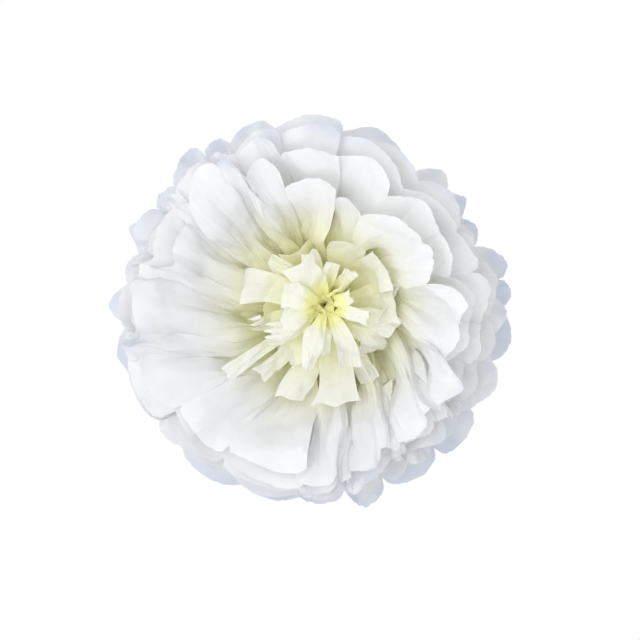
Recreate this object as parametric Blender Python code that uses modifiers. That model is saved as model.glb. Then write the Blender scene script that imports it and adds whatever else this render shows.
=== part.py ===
"""Wall flower of tissue paper: pleated sheets stacked, tied at the waist, cut round or square
at the ends, fanned to a full circle and peeled forward one by one.

Metres, +Z up. The flower faces -Y, its back touches the wall at y = 0, and the tail of its tie
wire meets the wall at the origin. Azimuths are degrees round the flower as its front shows them,
from +X towards +Z.
"""

import math

import bmesh
import bpy
from mathutils import Vector

# Driving sizes
FLOWER_RADIUS = 0.125  # from the axis to the rim, on average
WALL = 0.0003  # thickness of a sheet
NECK_RADIUS = 0.003  # gathered paper at the waist
NECK_HEIGHT = 0.010  # back sheet's neck, in front of the wall
NECK_STEP = 0.00075  # from one outer sheet's neck to the next
INNER_NECK_STEP = 0.0012  # from the last outer neck to the inner sheets' and between them
SEAMS_FACE = -3.0  # azimuth that the middle of the right half faces; the seams lie square to it
SEAM_AT_NECK = 14.0  # degrees from the seam to a half sheet's free edge, at the neck
SEAM_OPEN = 1.0  # the same, once the slit has closed
SEAM_CLOSED = 0.016  # distance from the neck at which the slit has closed
FLAP_AT_NECK = 20.0  # degrees of the neck that one flap takes
PLEAT_RISE = 0.022  # distance from the waist over which the pleats open
PANEL_CROWN = 0.0012  # how far a panel bows to the front
WIRE = 0.0008  # tie wire's diameter
WIRE_GAP = 0.0005  # clearance between the wire and the paper
TAIL_PITCH = 0.0045  # one twist of the wire's tail
TAIL_GAP = 0.0003  # clearance between the two strands of the tail
TAIL_POINTS = 12  # along each strand
TIE_BEND = 0.0009  # radius at the wire's bends

LEANED_OUT = 0.125  # run from the neck after which a sheet no longer leans out further
TURN_FROM, TURN_TO = 0.3, 1.5  # where a sheet turns up, as shares of its "turn"
FAN_FROM = 0.09  # share of a pleat's length after which the fan opens unevenly

PANELS = 12  # pleat panels on each half of a sheet
PANEL_SPLIT = 3  # facets across a panel
BROAD_PANEL = 14.0  # degrees; a narrower panel's end is rounded less
FLAP_SPLIT = 2  # facets across a flap
ROLLED_SPLIT = 4  # facets across a flap that rolls up
NEARBY = 0.01  # share of a flap's length over which its direction is read
NEARLY_FLAT = 1e-6  # least roll of a flap, in radians
FLAP_STATIONS = (0.0, 0.17, 0.34, 0.56, 0.78, 1.0)  # shares of a flap's length where its facets meet
STEP = 0.001  # length of one step along a sheet's section

# Outer sheets, from the back to the front. "turn" is the distance from the neck in which a sheet
# turns up, "steep" and "rim" are its slopes after that and at its rim, on the low and on the raised
# side, "pleat" is the pleats' half depth half way out and at the rim, and "scallop" how far a petal's
# crown stands past its folds. For each half: the folds' azimuths at the rim, and the distance from
# the axis to each panel's crown. All these distances are in hundredths of the flower's radius.
OUTER_SHEETS = (
    {
        "turn": 24.0, "steep": (-6.0, -6.0), "rim": (2.0, 4.0), "pleat": (4.4, 1.2), "scallop": 7.2,
        "right_folds": (-98.6, -84, -71.5, -52.5, -34.7, -18.3, 0, 8.5, 22, 33, 42, 56.8, 87.2),
        "right_crowns": (100, 104, 99, 98, 96, 96, 95, 95, 87, 90, 91, 87),
        "left_folds": (88.0, 100, 113, 127, 141, 155, 170, 183, 203.6, 213.4, 224, 246, 260.8),
        "left_crowns": (94, 94, 95, 95, 96, 97, 102, 109, 105, 105, 105, 102),
    },
    {
        "turn": 23.0, "steep": (7.0, 14.5), "rim": (4.5, 11.5), "pleat": (4.4, 1.8), "scallop": 7.2,
        "right_folds": (-98.6, -84, -76, -61, -53, -38, -28, -13, 4, 20, 36, 56, 87.2),
        "right_crowns": (95, 92, 94, 91, 92, 90, 91, 90, 87, 84, 84, 91),
        "left_folds": (88.0, 106.7, 121.5, 128, 143.3, 150, 164.5, 172.5, 188, 196, 214.5, 237, 260.8),
        "left_crowns": (96, 97, 92, 101, 99, 106, 100, 107, 98, 102, 102, 101),
    },
    {
        "turn": 20.0, "steep": (12.5, 27.0), "rim": (7.5, 20.0), "pleat": (4.4, 3.0), "scallop": 6.0,
        "right_folds": (-98.6, -84, -77.5, -64, -58, -43, -36, -21, -5, 12, 30, 54, 87.2),
        "right_crowns": (97, 95, 93, 91, 90, 88, 86, 85, 82, 81, 81, 84),
        "left_folds": (88.0, 105, 121, 128, 142, 149.5, 165, 173, 188, 196, 215, 237, 260.8),
        "left_crowns": (90, 94, 98, 101, 101, 100, 101, 102, 102, 101, 99, 98),
    },
    {
        "turn": 17.0, "steep": (17.5, 39.0), "rim": (11.5, 31.0), "pleat": (4.4, 3.4), "scallop": 5.0,
        "right_folds": (-98.6, -85, -79, -66, -60, -45, -38.5, -23, -6, 12, 30, 56, 87.2),
        "right_crowns": (96, 93, 91, 88, 86, 83, 80, 80, 78, 77, 77, 80),
        "left_folds": (88.0, 105.5, 121, 127.5, 142, 148.5, 164.5, 171.5, 188, 195.5, 215, 237, 260.8),
        "left_crowns": (83, 90, 96, 98, 97, 97, 100, 101, 102, 101, 98, 95),
    },
    {
        "turn": 14.0, "steep": (22.0, 50.0), "rim": (15.0, 41.0), "pleat": (4.4, 3.6), "scallop": 4.4,
        "right_folds": (-98.6, -86, -80, -67, -61, -46, -40, -24, -7, 12, 31, 60, 87.2),
        "right_crowns": (94, 91, 89, 85, 82, 79, 77, 74, 73, 70, 68, 73),
        "left_folds": (88.0, 106.5, 121.5, 127.5, 143, 148.5, 165, 171, 188.5, 195, 215, 236.5, 260.8),
        "left_crowns": (74, 83, 90, 93, 91, 90, 96, 99, 101, 100, 94, 93),
    },
    {
        "turn": 11.0, "steep": (27.0, 61.0), "rim": (18.5, 51.0), "pleat": (4.4, 3.8), "scallop": 4.0,
        "right_folds": (-98.6, -86, -81, -68, -62, -47, -41, -25, -8, 12, 32, 68, 87.2),
        "right_crowns": (90, 86, 84, 79, 78, 76, 76, 66, 65, 52, 54, 42),
        "left_folds": (88.0, 108, 122, 127.5, 143.5, 149, 165, 171, 189, 196, 215, 236, 260.8),
        "left_crowns": (63, 77, 86, 90, 86, 81, 88, 95, 98, 98, 90, 87),
    },
)
RAISED_SIDE = 35.0  # azimuth of the side where the sheets stand up most
RAISED_NARROWS = 1.4  # over 1, the raised side is narrower than the low side

# Inner sheets, cut into flaps. "places" are the middle of a flap on its way out: azimuth, distance
# from the axis, height over the neck and width. A flap may have a middle crease, roll up across or
# tilt about its length, more and more towards its end, and the end may be cut aslant or to a point.
# Angles are in degrees and distances in hundredths of the flower's radius.
INNER_SHEETS = (
    {
        "right_flaps": (
            {"places": ((-79, 15.3, 20.8, 7.5), (-82, 31.2, 28.8, 17), (-82.5, 48.7, 30.4, 23.5)),
             "crease": -1.3, "point": 2.8},
            {"places": ((-54, 16, 20.5, 5.5), (-56.5, 29.6, 26.5, 8), (-58, 44.5, 27, 8)),
             "crease": 1.6},
            {"places": ((-44, 11, 27, 5), (-43, 22.1, 35.2, 9.5), (-51, 31.3, 33.6, 11)),
             "crease": 2.4, "slant": -3.2},
            {"places": ((-17, 9.3, 27.2, 4.5), (-12, 22, 36.8, 8.8), (-12, 35.3, 40, 8.8)),
             "crease": 1.3},
            {"places": ((20, 9.2, 27.2, 5), (20, 19.2, 43.2, 14), (21, 29.7, 56, 20)),
             "crease": -1.2, "slant": 4.8},
            {"places": ((50, 10, 24, 4.5), (54, 15, 43.2, 7), (57, 21.2, 56, 8)),
             "crease": 1.2},
            {"places": ((80, 8.1, 24, 3.5), (80, 14.6, 40, 6), (80, 20.9, 51.2, 7)),
             "crease": -0.8},
        ),
        "left_flaps": (
            {"places": ((102.5, 9.2, 22.4, 5), (106.4, 17.5, 35.2, 8.8), (108.4, 24.9, 43.2, 8.8)),
             "crease": 1.2},
            {"places": ((133, 12.7, 20.8, 5.6), (137.5, 24.3, 30.4, 8), (138.3, 36.5, 33.6, 4.8)),
             "crease": 1.3},
            {"places": ((156, 12, 25.6, 6.5), (163.3, 25.9, 32, 15.2), (167.6, 41.7, 30.4, 14.4)),
             "crease": -1.3, "slant": 3.2},
            {"places": ((194, 12.5, 22, 4.5), (194.6, 25.7, 30.4, 7.2), (194.2, 40.5, 30.4, 7.2)),
             "crease": 1.0},
            {"places": ((212, 13.9, 20.8, 4.5), (214.5, 37.1, 28.8, 6.4), (215.5, 59.9, 28.8, 6.4)),
             "crease": 1.1},
            {"places": ((232, 14, 20, 4.5), (229, 32.6, 26, 7), (227, 49.1, 26, 8)),
             "crease": -1.0},
            {"places": ((254, 17.3, 20.8, 6), (252, 33.7, 27.2, 12.5), (250.1, 49.7, 27.2, 15.2)),
             "crease": 1.4, "slant": -3.2},
        ),
    },
    {
        "right_flaps": (
            {"places": ((-84, 8, 29, 3.5), (-88, 14, 42, 4.6), (-90, 24, 41, 5)),
             "crease": 0.8},
            {"places": ((-56, 4.5, 34, 4), (-60, 17, 42, 9), (-67, 32, 37, 10.5)),
             "roll": 70},
            {"places": ((-22, 6.8, 33, 4), (-14, 11, 46, 6), (-17, 23, 47, 7.5)),
             "roll": 40},
            {"places": ((12, 4, 32, 3.5), (18, 7, 43, 6.5), (22, 13, 50, 7)),
             "crease": 0.8},
            {"places": ((60, 5.5, 31, 4), (61, 7, 45, 5), (65, 12, 56, 7.5)),
             "tilt": 80},
        ),
        "left_flaps": (
            {"places": ((106, 5.2, 32, 3.6), (112, 15.5, 42, 11.5), (114, 25, 49, 16)),
             "roll": 80},
            {"places": ((154, 5.2, 36, 3.5), (160, 9, 50, 8), (158, 19, 53, 12)),
             "roll": 60},
            {"places": ((196, 6, 34, 4), (201, 15, 44, 9.5), (201, 24, 46, 11)),
             "roll": 60, "slant": 3},
            {"places": ((214, 7, 32, 4), (218, 17, 39, 9), (206, 34, 38, 12)),
             "roll": -110},
            {"places": ((236, 9.5, 21, 5), (238, 21, 30, 11), (235, 35, 32, 15)),
             "roll": 100},
            {"places": ((254, 5, 36, 4), (253, 16.5, 47, 9.6), (254, 32, 45, 6.5)),
             "crease": 2, "point": 2.4},
        ),
    },
)

PAPER_WHITE = (0.86, 0.87, 0.86, 1.0)
PAPER_CREAM = (0.88, 0.88, 0.78, 1.0)
WIRE_GREY = (0.62, 0.62, 0.60, 1.0)


def smooth(x):
    """Runs from 0 to 1 with a soft start and end."""
    x = min(max(x, 0.0), 1.0)
    return x * x * (3.0 - 2.0 * x)


def between(low, high, share):
    return low + (high - low) * share


def of_radius(hundredths):
    return FLOWER_RADIUS * hundredths / 100.0


def raised(azimuth):
    """How far an azimuth lies on the raised side, from 0 to 1."""
    return (0.5 + 0.5 * math.cos(math.radians(azimuth - RAISED_SIDE))) ** RAISED_NARROWS


def section(neck, turn, steep, rim, spread):
    """A sheet's section from its neck to a distance of spread from the axis, as (radius, height,
    slope) at each step. It starts flat, turns up and leans out again towards the rim."""
    radius, height, run = NECK_RADIUS, neck, 0.0
    points = [(radius, height, 0.0)]
    while radius < spread:
        up = smooth((run - TURN_FROM * turn) / ((TURN_TO - TURN_FROM) * turn))
        out = smooth((run - TURN_TO * turn) / (LEANED_OUT - TURN_TO * turn))
        slope = math.radians(between(steep * up, rim, out))
        step = min(STEP, (spread - radius) / math.cos(slope) + 1e-7)
        radius += step * math.cos(slope)
        height += step * math.sin(slope)
        run += step
        points.append((radius, height, slope))
    return points


def along(points, run):
    """The section's (radius, height, slope) after a run from its neck."""
    place = min(run / STEP, len(points) - 1.0)
    i = min(int(place), len(points) - 2)
    return [between(a, b, place - i) for a, b in zip(points[i], points[i + 1])]


def in_space(azimuth, radius, height):
    a = math.radians(azimuth)
    return Vector((radius * math.cos(a), -height, radius * math.sin(a)))


def pleat_depth(run, length, half_way, at_rim):
    """Half depth of the pleats, which open from none at the waist."""
    opened = 1.0 - math.exp(-((run / PLEAT_RISE) ** 2))
    return opened * of_radius(between(half_way, at_rim, smooth(run / length)))


def stations(turn, length):
    """Distances from the neck where the facets meet."""
    upright = TURN_TO * turn
    return (0.0, 0.65 * turn, upright, between(upright, length, 0.45), length)


def pleated_column(sheet, neck, azimuths, sign, spread, crown):
    """Points from the neck to the rim along one line of a pleated half. azimuths holds the line's
    place at the neck, where the pleats lie evenly, and at the rim."""
    side = raised(azimuths[2])
    turn = of_radius(sheet["turn"])
    points = section(
        neck, turn, between(*sheet["steep"], side), between(*sheet["rim"], side), spread
    )
    length = (len(points) - 1) * STEP
    column = []
    for run in stations(turn, length):
        radius, height, slope = along(points, run)
        share = smooth((run / length - FAN_FROM) / (1.0 - FAN_FROM))
        azimuth = between(between(*azimuths[:2], smooth(run / SEAM_CLOSED)), azimuths[2], share)
        proud = sign * pleat_depth(run, length, *sheet["pleat"]) + crown * share
        column.append(
            in_space(azimuth, radius - proud * math.sin(slope), height + proud * math.cos(slope))
        )
    return column


def pleated_half(sheet, neck, middle_of_half, folds, crowns, first_fold):
    """Columns of one half of a sheet, from its first free edge to its last. first_fold is 1.0 where
    that edge is a ridge, seen from the front, and -1.0 where it is a valley."""
    columns = []
    for panel in range(PANELS):
        falling = first_fold if panel % 2 == 0 else -first_fold
        low_start = min(crowns[max(panel - 1, 0)], crowns[panel])
        low_end = min(crowns[min(panel + 1, PANELS - 1)], crowns[panel])
        scallop = sheet["scallop"] * min(1.0, (folds[panel + 1] - folds[panel]) / BROAD_PANEL)
        for i in range(PANEL_SPLIT + (panel == PANELS - 1)):
            share = i / PANEL_SPLIT
            bow = math.sqrt(max(0.0, 1.0 - (2.0 * share - 1.0) ** 2))
            notch = between(low_start, low_end, share) - scallop
            place = 2.0 * (panel + share) / PANELS - 1.0
            azimuths = (
                SEAMS_FACE + middle_of_half + place * (90.0 - SEAM_AT_NECK),
                SEAMS_FACE + middle_of_half + place * (90.0 - SEAM_OPEN),
                between(folds[panel], folds[panel + 1], share),
            )
            columns.append(
                pleated_column(
                    sheet, neck, azimuths, falling * (1.0 - 2.0 * share),
                    of_radius(between(notch, crowns[panel], bow)), PANEL_CROWN * bow,
                )
            )
    return columns


def route(places, share):
    """A smooth curve through places, lists of numbers, at a share of the way."""
    at = share * (len(places) - 1)
    i = min(int(at), len(places) - 2)
    t = at - i
    before, a, b, after = (places[min(max(k, 0), len(places) - 1)] for k in (i - 1, i, i + 1, i + 2))
    return [
        0.5 * (2 * q + (r - p) * t + (2 * p - 5 * q + 4 * r - w) * t**2 + (3 * q - p - 3 * r + w) * t**3)
        for p, q, r, w in zip(before, a, b, after)
    ]


def flap_columns(neck, flap, neck_azimuth):
    """Lines along one flap, from its root at the neck to its end."""
    root = 100.0 * NECK_RADIUS / FLOWER_RADIUS  # in hundredths, as the flap's places are
    places = [(neck_azimuth, root, 0.0, root * math.radians(FLAP_AT_NECK)), *flap["places"]]
    roll = math.radians(flap.get("roll", 0.0))
    split = ROLLED_SPLIT if roll else FLAP_SPLIT
    columns = [[] for _ in range(split + 1)]
    for share in FLAP_STATIONS:
        azimuth, radius, height, width = route(places, share)
        middle = in_space(azimuth, of_radius(radius), neck + of_radius(height))
        nearby = [route(places, min(max(share + step, 0.0), 1.0)) for step in (-NEARBY, NEARBY)]
        behind, beyond = (
            in_space(place[0], of_radius(place[1]), neck + of_radius(place[2])) for place in nearby
        )
        ahead = (beyond - behind).normalized()
        a = math.radians(azimuth)
        side = Vector((-math.sin(a), 0.0, math.cos(a)))
        side = (side - ahead * side.dot(ahead)).normalized()
        tilt = math.radians(flap.get("tilt", 0.0)) * share
        side = side * math.cos(tilt) + ahead.cross(side) * math.sin(tilt)
        lift = ahead.cross(side)
        arc = roll * smooth(share) + NEARLY_FLAT
        for i, column in enumerate(columns):
            at = i / split - 0.5
            forward = width * (1.0 - math.cos(arc * at)) / arc
            forward += flap.get("crease", 0.0) * smooth(share) * (0.5 - abs(2.0 * at))
            further = flap.get("slant", 0.0) * at + flap.get("point", 0.0) * (0.5 - abs(at))
            column.append(
                middle
                + side * of_radius(width * math.sin(arc * at) / arc)
                + lift * of_radius(forward)
                + ahead * of_radius(further * share**3)
            )
    return columns


def flapped_half(neck, middle_of_half, flaps):
    """The flaps of one half of an inner sheet."""
    first = SEAMS_FACE + middle_of_half - 90.0 + SEAM_AT_NECK
    pitch = (180.0 - 2.0 * SEAM_AT_NECK) / len(flaps)
    return [flap_columns(neck, flap, first + pitch * (i + 0.5)) for i, flap in enumerate(flaps)]


def paper_object(name, strips, neck, material, collection):
    """A sheet: strips of columns that leave one flat neck, with a wall given by Solidify."""
    bm = bmesh.new()
    ring = []
    for strip in strips:
        grid = [[bm.verts.new(point) for point in column] for column in strip]
        ring += [column[0] for column in grid]
        for left, right in zip(grid, grid[1:]):
            for i in range(len(left) - 1):
                bm.faces.new((left[i], left[i + 1], right[i + 1], right[i]))
    centre = bm.verts.new(in_space(0.0, 0.0, neck))
    for a, b in zip(ring, ring[1:] + ring[:1]):
        bm.faces.new((centre, a, b))
    bmesh.ops.recalc_face_normals(bm, faces=bm.faces)
    mesh = bpy.data.meshes.new(name)
    bm.to_mesh(mesh)
    bm.free()
    obj = bpy.data.objects.new(name, mesh)
    obj.data.materials.append(material)
    collection.objects.link(obj)
    wall = obj.modifiers.new("Wall", "SOLIDIFY")
    wall.thickness = WALL
    wall.offset = 0.0
    return obj


def quarter(z, height, radius, start):
    """Three points of a quarter turn in the plane x = 0, from the angle start, in degrees."""
    angles = [math.radians(start + sweep) for sweep in (0.0, 45.0, 90.0)]
    return [(0.0, height + radius * math.sin(a), z + radius * math.cos(a)) for a in angles]


def tie_wire(last_neck, material, collection):
    """One wire: a loop round the stacked necks, through the slits where the halves meet, and a
    tail of its two ends twisted together, which runs back to the wall."""
    half_wire = 0.5 * WIRE
    back = NECK_HEIGHT - 0.5 * WALL - WIRE_GAP - half_wire
    front = last_neck + 0.5 * WALL + WIRE_GAP + half_wire
    side = NECK_RADIUS + WIRE_GAP + half_wire
    strand = half_wire + 0.5 * TAIL_GAP
    corner = side - TIE_BEND
    tail_top = back - TIE_BEND
    tail = [between(half_wire, tail_top, i / TAIL_POINTS) for i in range(TAIL_POINTS + 1)]

    def twisted(height, lead):
        turn = math.tau * (height - tail_top) / TAIL_PITCH + lead
        return (strand * math.sin(turn), height, strand * math.cos(turn))

    path = [twisted(height, 0.0) for height in tail[:-1]]
    path += reversed(quarter(strand + TIE_BEND, tail_top, TIE_BEND, 90.0))
    path += quarter(corner, back + TIE_BEND, TIE_BEND, -90.0)
    path += quarter(corner, front - TIE_BEND, TIE_BEND, 0.0)
    path += quarter(-corner, front - TIE_BEND, TIE_BEND, 90.0)
    path += quarter(-corner, back + TIE_BEND, TIE_BEND, 180.0)
    path += reversed(quarter(-strand - TIE_BEND, tail_top, TIE_BEND, 0.0))
    path += [twisted(height, math.pi) for height in reversed(tail[:-1])]
    curve = bpy.data.curves.new("tie_wire", "CURVE")
    curve.dimensions = "3D"
    curve.bevel_depth = half_wire
    curve.bevel_resolution = 1
    curve.use_fill_caps = True
    spline = curve.splines.new("POLY")
    spline.points.add(len(path) - 1)
    for point, (x, height, z) in zip(spline.points, path):
        point.co = (x, -height, z, 1.0)
    obj = bpy.data.objects.new("tie_wire", curve)
    obj.rotation_euler.y = -math.radians(SEAMS_FACE)
    obj.data.materials.append(material)
    collection.objects.link(obj)


def make_material(name, colour, roughness, metallic):
    material = bpy.data.materials.new(name)
    material.use_nodes = True
    shader = material.node_tree.nodes["Principled BSDF"]
    shader.inputs["Base Color"].default_value = colour
    shader.inputs["Roughness"].default_value = roughness
    shader.inputs["Metallic"].default_value = metallic
    return material


def main():
    for obj in list(bpy.data.objects):
        bpy.data.objects.remove(obj, do_unlink=True)
    flower = bpy.data.collections.new("paper_wall_flower")
    bpy.context.scene.collection.children.link(flower)
    neck = NECK_HEIGHT
    for number, sheet in enumerate(OUTER_SHEETS, 1):
        name = f"outer_sheet_{number}"
        halves = [
            pleated_half(sheet, neck, 0.0, sheet["right_folds"], sheet["right_crowns"], -1.0),
            pleated_half(sheet, neck, 180.0, sheet["left_folds"], sheet["left_crowns"], 1.0),
        ]
        paper_object(name, halves, neck, make_material(name, PAPER_WHITE, 0.85, 0.0), flower)
        neck += NECK_STEP
    neck -= NECK_STEP
    for number, sheet in enumerate(INNER_SHEETS, 1):
        neck += INNER_NECK_STEP
        name = f"inner_sheet_{number}"
        flaps = flapped_half(neck, 0.0, sheet["right_flaps"])
        flaps += flapped_half(neck, 180.0, sheet["left_flaps"])
        paper_object(name, flaps, neck, make_material(name, PAPER_CREAM, 0.85, 0.0), flower)
    tie_wire(neck, make_material("tie_wire", WIRE_GREY, 0.35, 0.8), flower)


main()
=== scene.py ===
"""Wall flower of tissue paper: pleated sheets stacked, tied at the waist, cut round or square at
the ends, fanned to a full circle and peeled forward one by one.

Metres, +Z up. The flower faces -Y and its back touches the wall at y = 0. Azimuths are degrees
round the flower as its front shows them, from +X towards +Z.
"""

import math
import random

import bpy
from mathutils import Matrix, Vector
from mathutils.bvhtree import BVHTree


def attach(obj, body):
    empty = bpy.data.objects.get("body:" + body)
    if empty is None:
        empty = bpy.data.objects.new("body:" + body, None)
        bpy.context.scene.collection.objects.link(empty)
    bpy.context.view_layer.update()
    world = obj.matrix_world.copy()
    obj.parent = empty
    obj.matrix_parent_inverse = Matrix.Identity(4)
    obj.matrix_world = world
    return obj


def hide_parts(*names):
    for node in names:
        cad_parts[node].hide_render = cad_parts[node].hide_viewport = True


# The waist and the sheets' sections, as the solids have them
FLOWER_RADIUS = 0.125  # from the axis to the rim, on average
NECK_RADIUS = 0.003  # gathered paper at the waist
NECK_HEIGHT = 0.010  # back sheet's neck, in front of the wall
NECK_STEP = 0.00075  # from one outer sheet's neck to the next
INNER_NECK_STEP = 0.0012  # from the last outer neck to the inner sheets' and between them
SEAMS_FACE = -3.0  # azimuth that the middle of the right half faces; the seams lie square to it
SEAM_AT_NECK = 14.0  # degrees from the seam to a half's free edge, at the neck
SEAM_OPEN = 1.0  # the same, once the slit has closed
SEAM_CLOSED = 0.016  # distance from the neck at which the slit has closed
FLAP_AT_NECK = 20.0  # degrees of the neck that one flap takes
PLEAT_RISE = 0.022  # distance from the waist over which the pleats open
LEANED_OUT = 0.125  # run from the neck after which a sheet no longer leans out further
TURN_FROM, TURN_TO = 0.3, 1.5  # where a sheet turns up, as shares of its "turn"
FAN_FROM = 0.09  # share of a pleat's length after which the fan opens unevenly
RAISED_SIDE = 35.0  # azimuth of the side where the sheets stand up most
RAISED_NARROWS = 1.4  # over 1, the raised side is narrower than the low side
STEP = 0.001  # length of one step along a sheet's section

# The halves of a sheet and the folds of a pleat
RIGHT, LEFT = 0.0, 180.0  # azimuths of the halves' middles, from SEAMS_FACE
RIDGE, VALLEY = 1.0, -1.0  # a fold in front of its sheet and one behind it

# Tissue paper
WALL = 0.00012  # thickness
OFF_THE_WALL = 2.0 * WALL  # nearest that the middle of the paper comes to the plane y = 0
SHARP_EDGE = 22.0  # degrees; the shading breaks at creases sharper than this
# Backing: other sheets close to a point; far out, paper with none is painted darker as shade
BACKED_WITHIN = 0.05  # distance in which one sheet backs another
BACKING_LAYERS = 2  # layers of other sheets that back a sheet fully
BACKING_SPREADS = 10  # times that each point's backing is shared with its neighbours'

# Outer sheets
PANELS = 12  # pleat panels on each half
PANEL_WIDTH = 0.041  # one panel laid flat
BROAD_PANEL = 14.0  # degrees; a narrower panel's end is rounded less
SEAM_LAPS = (3.4, 2.8)  # degrees that the left half laps over the right, at the top and the bottom
ACROSS = 18  # faces across a panel
ALONG = 58  # faces from the neck to the rim, on the inner sheets too

# How the panels of an outer sheet differ. A pair is the least and the most of a random draw.
CROWN_STRAY = (-1.0, 0.8)  # hundredths of the flower's radius, for each unit of "uneven"
FOLD_STRAY = (-0.2, 0.2)  # degrees, for each unit of "uneven"
LEAN = (-1.2, 1.2)  # degrees that a panel is steeper than its sheet
CURL = (-13.0, 15.0)  # degrees that a broad panel is steeper at its end
CURL_FROM, CURL_OVER = 0.7, 0.3  # where the curl starts and how long it grows, in shares of LEANED_OUT
HOLLOW = (-0.0025, 0.0035)  # depth of a broad panel's middle
RAISED_CALM = 0.75  # share of the curl and the hollow that the raised side does without
RIPPLE = 0.0012  # height of the ripple across a broad panel
RIPPLE_TURN = 7.0  # radians of that ripple from fold to fold
SKEW = 0.25  # most that a crown is skewed to one side, as a power of two
UNEVEN_SKEW = 0.1  # added to it for each unit of "uneven"
RAISED_SKEW = 0.5  # added to it on the raised side
FULLNESS = (1.2, 2.9)  # of a crown's outline: 1 is a gable, 2 is round and more is square
RAISED_LESS_FULL = 1.5  # taken from the greatest fullness on the raised side

# Flaps of the inner sheets, and how they differ. What a flap doesn't give is as in PLAIN_FLAP.
PLAIN_FLAP = {"crease": 0.0, "roll": 0.0, "tilt": 0.0, "slant": 0.0, "point": 0.0, "fingers": 0}
FLAP_ACROSS = 18  # faces across a flap
FLAP_WIDTH = 0.02  # one flap laid flat, as the crumples count it
FLAP_APART = 0.001  # on the flat paper, for each degree round the flower
NEARLY_FLAT = 1e-6  # least roll of a flap, in radians
FLAP_CUTS = 4  # straight cuts across a flap's end
CUT_STRAY = (-1.6, 1.2)  # hundredths of the flower's radius, where two cuts meet
TIP_FOLD_AT = (0.74, 0.86)  # share of its length at which a flap without "fold" folds over
TIP_FOLD = (-32.0, 32.0)  # degrees that such a flap folds over
TIP_FOLD_ASLANT = 0.12  # share of the length that a fold lies further out at one edge than the other
SWELL, SWELL_TURN = 0.16, 9.0  # share that a flap's width varies, and radians of it along the flap
SWAY, SWAY_TURN = 0.09, 7.0  # share of its width that a flap sways, and radians of it along the flap
FINGER_SLIT = 8.0  # hundredths of the flower's radius that the slits between fingers are deep
FINGERS_FROM, FINGERS_OVER = 0.6, 0.4  # where the slits start and how long they deepen, as shares

# Crumples: the inputs of the node tree that lays them, in metres
OUTER_CRUMPLE = {
    "Gather Height": 0.0017, "Crease Width": 0.009, "Fold Height": 0.0032, "Fold Size": 0.021,
    "Crumple Height": 0.0004, "Crumple Size": 0.014, "Flutter Height": 0.0025, "Flutter Size": 0.030,
}
INNER_CRUMPLE = {
    "Gather Height": 0.0006, "Crease Width": 0.006, "Fold Height": 0.0012, "Fold Size": 0.010,
    "Crumple Height": 0.0005, "Crumple Size": 0.009, "Flutter Height": 0.0015, "Flutter Size": 0.016,
}
CRUMPLES_RISE = 60.0  # share of their height gained for each metre from the neck, until it is whole
GATHERS_END, GATHERS_FADE = 0.7, 1.6  # gathers keep (1 - GATHERS_END * reach) ** GATHERS_FADE
GATHER_LENGTH = 9.0  # in crease widths
CRUMPLE_LENGTH = 1.8  # in crumple sizes
RIDGE_ROUGHNESS = 0.45  # strength of each finer octave of the ridges' noise, as a share of the last
RIDGE_STEEPNESS = 8.0  # fall of a ridge's flanks for each unit of that noise
FLUTTER_POWER = 3.0  # the higher, the nearer to the rim the flutter stays
BEND_SIZE = 2.2  # of the patches over which the straight folds bend, in fold sizes
BEND = 1.4  # most that the straight folds bend aside, in their spacings
BENDS_APART, CRUMPLES_APART, FLUTTER_APART = 11.9, 31.7, 71.3  # in the noise, from the gathers

# Straight folds pressed into the paper: their angle in degrees from along the sheet, their spacing
# in fold sizes and where in the zigzag they start
FOLDS = ((14.0, 1.0, 0.37), (-31.0, 0.72, 0.61), (63.0, 1.25, 0.23), (-78.0, 1.6, 0.83))

# Seeds of the random draws and of the crumples' noise. A sheet's own follow from its number.
OUTER_SEED_STEP = 10
OUTER_LEFT_SEED = 5  # added for the left half
OUTER_NOISE_STEP = 3.1
INNER_SEED, INNER_SEED_STEP = 200, 40
INNER_LEFT_SEED = 20  # added for the left half
INNER_NOISE, INNER_NOISE_STEP = 50.0, 4.3

# Colours and surfaces
# The waist's colour is painted light: the warm yellow glow of light bouncing between the layers in the
# flower's deep centre
GLOW_ALONG = 0.02  # distance from the neck, on the paper, at which the waist's colour starts to fade
GLOW_OUT = 0.01  # distance from the axis at which it starts to fade
# Painted shade: far out, thin paper that no other sheet backs is painted darker and bluer
PAINTED_RIM_SHADE = (0.088, 0.112)  # distances from the axis between which single paper gets its rim's colour
CLOUDS, FIBRES = 170.0, 1900.0  # spots to a metre: cloudy thin and thick paper, and its fibres
LEAST_SHADE = 0.965  # brightness of the paper's darkest spots
CLOUD_SHADE, FIBRE_SHADE = 0.05, 0.02  # added in the brightest spots
CLOUD_RELIEF, FIBRE_RELIEF = (0.25, 0.0004), (0.15, 0.0001)  # strength and depth of the bumps
PAPER_ROUGHNESS = 0.8
PAPER_SPECULAR = 0.25
SEEN_THROUGH = 0.5  # share of the light that goes through the paper
ZINC_GRAINS = 2500.0  # to a metre
DARK_ZINC, PALE_ZINC = (0.42, 0.43, 0.44, 1.0), (0.66, 0.66, 0.65, 1.0)
ZINC_ROUGH, ZINC_ROUGHER = 0.25, 0.2  # least roughness, and what the grain adds at most

# The picture
PIXEL = 0.000638  # one pixel of the photograph, on the wall's plane
PHOTO_SIZE = 640.0  # pixels each way
WAIST_PIXEL = (325.0, 306.0)  # across and down
CAMERA_AWAY = 2.0  # from the wall
SENSOR = 36.0  # its width in millimetres
FLOOR_SIZE, FLOOR_HEIGHT = 1.4, -0.42  # the waist is at height 0
FLOOR_COLOUR, FLOOR_ROUGHNESS = (0.8, 0.8, 0.8, 1.0), 0.9
LIT_POINT = (0.0, -0.03, 0.0)  # on the axis, in front of the waist
SKY = (0.955, 0.975, 1.0, 1.0)  # light that falls on the flower
GROUND = (1.0, 1.0, 1.0, 1.0)  # what is seen behind it
BOUNCES = 12  # light crosses many layers of tissue

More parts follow.
